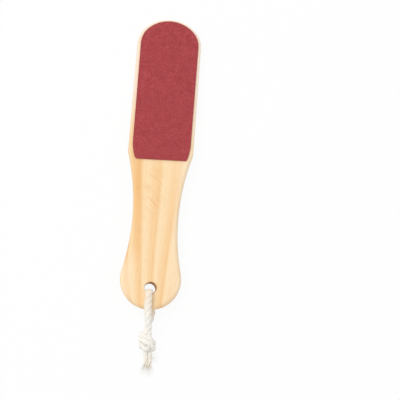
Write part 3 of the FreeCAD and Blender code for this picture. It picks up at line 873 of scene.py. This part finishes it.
def fibre_tree(material):
    """Loose curly fibres that grow from a surface near a point, leaning one way."""
    tree, given = geometry_tree(
        "cotton_fibres",
        {
            "Centre": "NodeSocketVector",
            "Reach": "NodeSocketFloat",
            "Along": "NodeSocketVector",
            "Lean": "NodeSocketFloat",
            "Density": "NodeSocketFloat",
            "Length": "NodeSocketFloat",
            "Thickness": "NodeSocketFloat",
            "Seed": "NodeSocketInt",
        },
    )

    # Roots of the fibres
    place = add(tree, "GeometryNodeInputPosition").outputs["Position"]
    away = add(tree, "ShaderNodeVectorMath", {0: place, 1: given["Centre"]}, operation="DISTANCE")
    chosen = add(
        tree,
        "FunctionNodeCompare",
        {0: away.outputs["Value"], 1: given["Reach"]},
        operation="LESS_THAN",
    )
    points = add(
        tree,
        "GeometryNodeDistributePointsOnFaces",
        {
            "Mesh": given["Geometry"],
            "Selection": chosen.outputs["Result"],
            "Density": given["Density"],
            "Seed": given["Seed"],
        },
    )

    # Direction and length of each fibre
    leaning = add(
        tree,
        "ShaderNodeMix",
        {0: given["Lean"], 4: points.outputs["Normal"], 5: given["Along"]},
        data_type="VECTOR",
    )
    scatter = add(
        tree,
        "FunctionNodeRandomValue",
        {
            "Min": (-FIBRE_SCATTER_SHARE,) * 3,
            "Max": (FIBRE_SCATTER_SHARE,) * 3,
            "Seed": given["Seed"],
        },
        data_type="FLOAT_VECTOR",
    )
    heading = add(
        tree,
        "ShaderNodeVectorMath",
        {0: leaning.outputs[1], 1: scatter.outputs["Value"]},
        operation="ADD",
    )
    turn = add(tree, "FunctionNodeAlignRotationToVector", {"Vector": heading.outputs["Vector"]}, axis="Z")
    span = add(
        tree,
        "FunctionNodeRandomValue",
        {2: SHORTEST_FIBRE_SHARE, 3: 1, "Seed": given["Seed"]},
        data_type="FLOAT",
    )
    length = add(tree, "ShaderNodeMath", {0: span.outputs[1], 1: given["Length"]}, operation="MULTIPLY")
    straight = add(tree, "GeometryNodeCurvePrimitiveLine", {"End": (0, 0, 1)})
    line = add(tree, "GeometryNodeResampleCurve", {"Curve": straight.outputs["Curve"], "Count": 6})
    fibres = add(
        tree,
        "GeometryNodeInstanceOnPoints",
        {
            "Points": points.outputs["Points"],
            "Instance": line.outputs["Curve"],
            "Rotation": turn.outputs["Rotation"],
            "Scale": length.outputs[0],
        },
    )
    real = add(tree, "GeometryNodeRealizeInstances", {"Geometry": fibres.outputs["Instances"]})

    # Curl that grows towards the tips, with no fibre below the floor
    waves = add(tree, "ShaderNodeTexNoise", {"Vector": place, "Scale": 1 / (FIBRE_CURL * MM), "Detail": 1})
    centred = add(
        tree,
        "ShaderNodeVectorMath",
        {0: waves.outputs["Color"], 1: (0.5, 0.5, 0.5)},
        operation="SUBTRACT",
    )
    share = add(tree, "GeometryNodeSplineParameter").outputs["Factor"]
    swing = add(tree, "ShaderNodeMath", {0: share, 1: given["Length"]}, operation="MULTIPLY")
    curl = add(
        tree,
        "ShaderNodeVectorMath",
        {0: centred.outputs["Vector"], "Scale": swing.outputs[0]},
        operation="SCALE",
    )
    moved = add(tree, "ShaderNodeVectorMath", {0: place, 1: curl.outputs["Vector"]}, operation="ADD")
    lowest = (-1, -1, FIBRE_LIFT * MM)
    lying = add(tree, "ShaderNodeVectorMath", {0: moved.outputs["Vector"], 1: lowest}, operation="MAXIMUM")
    curled = add(
        tree,
        "GeometryNodeSetPosition",
        {"Geometry": real.outputs["Geometry"], "Position": lying.outputs["Vector"]},
    )

    section = add(tree, "GeometryNodeCurvePrimitiveCircle", {"Resolution": 3, "Radius": given["Thickness"]})
    tubes = add(
        tree,
        "GeometryNodeCurveToMesh",
        {"Curve": curled.outputs["Geometry"], "Profile Curve": section.outputs["Curve"], "Fill Caps": True},
    )
    coated = add(
        tree,
        "GeometryNodeSetMaterial",
        {"Geometry": tubes.outputs["Mesh"], "Material": material},
    )
    add(tree, "NodeGroupOutput", {"Geometry": coated.outputs["Geometry"]})
    return tree


def cords():
    """Both halves of the cord, which meet in the hole, with their loose fibres."""
    material = cotton()
    tree = fibre_tree(loose_cotton())
    front_shares = FRONT_ENTRY_SHARES + LOWER_OUTER_TURN_SHARES + wrap_shares(OUTER_STRAND_SHARE)
    front_shares += UPPER_INNER_TURN_SHARES + LEFT_TAIL_SHARES
    rear_shares = REAR_ENTRY_SHARES + LOWER_INNER_TURN_SHARES + wrap_shares(0)
    rear_shares += UPPER_OUTER_TURN_SHARES + RIGHT_TAIL_SHARES
    front_nodes = ("cord_loop", "left_tail")
    rear_nodes = ("cord_knot", "right_tail")
    for name, leg, leg_radius, shares, nodes, spread, seed in (
        ("front_cord", FRONT_LEG, FRONT_LEG_RADIUS, front_shares, front_nodes, FRONT_FRAY_SPREAD, 1),
        ("rear_cord", REAR_LEG, REAR_LEG_RADIUS, rear_shares, rear_nodes, REAR_FRAY_SPREAD, 2),
    ):
        cord, line = cord_half(name, leg, leg_radius, shares, material)
        along = Vector(line[-1] - line[-TAIL_HEADING_SECTIONS]).normalized()
        fuzz = FUZZ | {"Centre": line[-1], "Along": along, "Seed": seed}
        fray = FRAY | {"Centre": line[-1], "Along": along + Vector(spread), "Seed": seed}
        pieces = [
            grown(name + "_fuzz", cord.data.copy(), tree, fuzz),
            grown(name + "_fray", cord.data.copy(), tree, fray),
        ]
        if name == "rear_cord":
            root = line[-STRAY_SECTIONS_FROM_END]
            strays = STRAYS | {"Centre": root, "Along": STRAY_HEADING, "Seed": STRAY_SEED}
            pieces.append(grown(name + "_strays", cord.data.copy(), tree, strays))
        for item in (cord, *pieces):
            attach(item, "loop")
        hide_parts(*nodes)


# Abrasive sheets


def grain_tree(material):
    """Sharp grains, eight faces each, scattered over the faces that look one way."""
    tree, given = geometry_tree(
        "abrasive_grains",
        {
            "Facing": "NodeSocketVector",
            "Spacing": "NodeSocketFloat",
            "Grain": "NodeSocketFloat",
            "Seed": "NodeSocketInt",
        },
    )

    # Faces that look the given way, within about 26 degrees
    normal = add(tree, "GeometryNodeInputNormal").outputs["Normal"]
    facing = add(tree, "ShaderNodeVectorMath", {0: normal, 1: given["Facing"]}, operation="DOT_PRODUCT")
    chosen = add(
        tree,
        "FunctionNodeCompare",
        {0: facing.outputs["Value"], 1: FACING_COSINE},
        operation="GREATER_THAN",
    )
    whole = add(
        tree,
        "GeometryNodeMergeByDistance",
        {"Geometry": given["Geometry"], "Distance": MERGE_DISTANCE * MM},
    )

    # Rim of the sheet, along its edges that bend more than one radian, where painted shade darkens the grit
    bend = add(tree, "GeometryNodeInputMeshEdgeAngle").outputs["Unsigned Angle"]
    sharp = add(tree, "FunctionNodeCompare", {0: bend, 1: RIM_BEND}, operation="GREATER_THAN")
    outline = add(
        tree,
        "GeometryNodeSeparateGeometry",
        {"Geometry": whole.outputs["Geometry"], "Selection": sharp.outputs["Result"]},
        domain="EDGE",
    )
    near = add(
        tree,
        "GeometryNodeProximity",
        {"Geometry": outline.outputs["Selection"]},
        target_element="EDGES",
    )
    rim = add(
        tree,
        "ShaderNodeMapRange",
        {
            "Value": near.outputs["Distance"],
            "From Min": RIM_WIDTH[0] * MM,
            "From Max": RIM_WIDTH[1] * MM,
            "To Max": RIM_SHARE,
        },
    )
    points = add(
        tree,
        "GeometryNodeDistributePointsOnFaces",
        {
            "Mesh": whole.outputs["Geometry"],
            "Selection": chosen.outputs["Result"],
            "Distance Min": given["Spacing"],
            "Density Max": DENSEST_GRAINS,
            "Seed": given["Seed"],
        },
        distribute_method="POISSON",
    )
    rimmed = add(
        tree,
        "GeometryNodeStoreNamedAttribute",
        {"Geometry": points.outputs["Points"], "Name": "rim", "Value": rim.outputs[0]},
    )

    # Grains, turned and stretched at random
    shape = add(tree, "GeometryNodeMeshUVSphere", {"Segments": 4, "Rings": 2, "Radius": 1})
    turn = add(
        tree,
        "FunctionNodeRandomValue",
        {"Max": (FULL_TURN,) * 3, "Seed": given["Seed"]},
        data_type="FLOAT_VECTOR",
    )
    least, most = GRAIN_STRETCH_SHARES
    stretch = add(
        tree,
        "FunctionNodeRandomValue",
        {"Min": (least,) * 3, "Max": (most,) * 3, "Seed": given["Seed"]},
        data_type="FLOAT_VECTOR",
    )
    size = add(
        tree,
        "ShaderNodeVectorMath",
        {0: stretch.outputs["Value"], "Scale": given["Grain"]},
        operation="SCALE",
    )
    grains = add(
        tree,
        "GeometryNodeInstanceOnPoints",
        {
            "Points": rimmed.outputs["Geometry"],
            "Instance": shape.outputs["Mesh"],
            "Rotation": turn.outputs["Value"],
            "Scale": size.outputs["Vector"],
        },
    )
    real = add(tree, "GeometryNodeRealizeInstances", {"Geometry": grains.outputs["Instances"]})
    coated = add(
        tree,
        "GeometryNodeSetMaterial",
        {"Geometry": real.outputs["Geometry"], "Material": material},
    )
    add(tree, "NodeGroupOutput", {"Geometry": coated.outputs["Geometry"]})
    return tree


def abrasive_sheets():
    """Finishes of both sheets, with coarse grains in front and finer ones behind."""
    axis = Vector(frame["joints"][0]["axis"])
    glue = dried_glue()
    cloth = backing_cloth()
    red = grit_coat("red_aluminium_oxide", FRONT_SPECKLE, "#9E3338", "#AB3F44", "#B84E52")
    fine_red = grit_coat("fine_red_aluminium_oxide", REAR_SPECKLE, "#9E3338", "#AB3F44", "#B44A4E")
    for side, grit, slot, facing, grain, seed in (
        ("front", red, "red_grit", axis, FRONT_GRAIN, 1),
        ("rear", fine_red, "fine_red_grit", -axis, REAR_GRAIN, 2),
    ):
        frame["nodes"][side + "_adhesive"].data.materials[0] = glue
        frame["nodes"][side + "_abrasive_backing"].data.materials[0] = cloth
        coat = frame["nodes"][side + "_grit_coat"]
        coat.data.materials[0] = grit
        sizes = {"Facing": facing, "Spacing": GRAIN_SPACING * MM, "Grain": grain * MM, "Seed": seed}
        grains = grown(side + "_grains", coat.data.copy(), grain_tree(grit), sizes)
        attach(grains, "paddle")


# Stage


def camera():
    """Long lens high above the file, a little towards its lower left."""
    lean = math.radians(LEAN_DEG)
    right = Vector((math.cos(lean), math.sin(lean), 0))
    up = Vector((-math.sin(lean), math.cos(lean), 0))
    across, down = (IMAGE_WIDTH_PX / 2 - place for place in PADDLE_MIDDLE_PX)
    target = (right * across - up * down) * SCALE_MM_PER_PX * MM
    low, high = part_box("wood_paddle")
    target.z = (low.z + high.z) / 2
    tilt = math.radians(CAMERA_TILT_DEG)
    side = math.radians(CAMERA_SIDE_DEG)
    sideways = right * math.cos(side) + up * math.sin(side)
    back = sideways * math.sin(tilt) + Vector((0, 0, math.cos(tilt)))
    data = bpy.data.cameras.new("camera")
    data.lens = LENS_MM
    data.sensor_width = SENSOR_MM
    item = new_object("camera", data)
    upward = (up - back * up.dot(back)).normalized()
    turn = Matrix((upward.cross(back), upward, back)).transposed()
    distance = LENS_MM / SENSOR_MM * IMAGE_WIDTH_PX * SCALE_MM_PER_PX * MM
    item.matrix_world = Matrix.Translation(target + back * distance) @ turn.to_4x4()
    bpy.context.scene.camera = item


def seen(tree):
    """1 for rays that show a surface to the camera, also by reflection or through glass."""
    path = add(tree, "ShaderNodeLightPath").outputs
    straight = add(
        tree,
        "ShaderNodeMath",
        {0: path["Is Camera Ray"], 1: path["Is Glossy Ray"]},
        operation="MAXIMUM",
    )
    return add(
        tree,
        "ShaderNodeMath",
        {0: straight.outputs[0], 1: path["Is Transmission Ray"]},
        operation="MAXIMUM",
    ).outputs[0]


def floor():
    """Pale floor that looks white and keeps a faint shadow."""
    mesh = bpy.data.meshes.new("floor")
    side = FLOOR_HALF_SIDE * MM
    height = FLOOR_HEIGHT * MM
    corners = [(-side, -side, height), (side, -side, height), (side, side, height), (-side, side, height)]
    mesh.from_pydata(corners, [], [(0, 1, 2, 3)])
    material, tree = new_material("pale_floor")
    paint = add(tree, "ShaderNodeBsdfDiffuse", {"Color": colour("#F4F4F4")})
    glow = add(tree, "ShaderNodeEmission", {"Strength": 1})
    share = add(tree, "ShaderNodeMath", {0: seen(tree), 1: FLOOR_GLOW_SHARE}, operation="MULTIPLY")
    mixed = add(
        tree,
        "ShaderNodeMixShader",
        {0: share.outputs[0], 1: paint.outputs[0], 2: glow.outputs[0]},
    )
    add(tree, "ShaderNodeOutputMaterial", {"Surface": mixed.outputs[0]})
    mesh.materials.append(material)
    new_object("floor", mesh)


def lights():
    """Soft light from all round and a broad lamp from the upper left."""
    world = bpy.data.worlds.new("studio")
    bpy.context.scene.world = world
    world.use_nodes = True
    tree = world.node_tree
    strength = add(
        tree,
        "ShaderNodeMath",
        {0: seen(tree), 1: 1 - AMBIENT_STRENGTH, 2: AMBIENT_STRENGTH},
        operation="MULTIPLY_ADD",
    )
    background = tree.nodes["Background"]
    background.inputs["Color"].default_value = (1, 1, 1, 1)
    tree.links.new(strength.outputs[0], background.inputs["Strength"])
    data = bpy.data.lights.new("key", "AREA")
    data.shape = "DISK"
    data.size = KEY_DIAMETER * MM
    data.energy = KEY_WATTS
    item = new_object("key", data)
    place = Vector(KEY_PLACE) * MM
    item.matrix_world = Matrix.Translation(place) @ place.to_track_quat("Z", "Y").to_matrix().to_4x4()


def main():
    """Stage, pieces and finishes."""
    camera()
    floor()
    lights()
    cords()
    abrasive_sheets()
    frame["nodes"]["wood_paddle"].data.materials[0] = pine()
    bpy.context.scene.view_settings.view_transform = "Standard"


main()
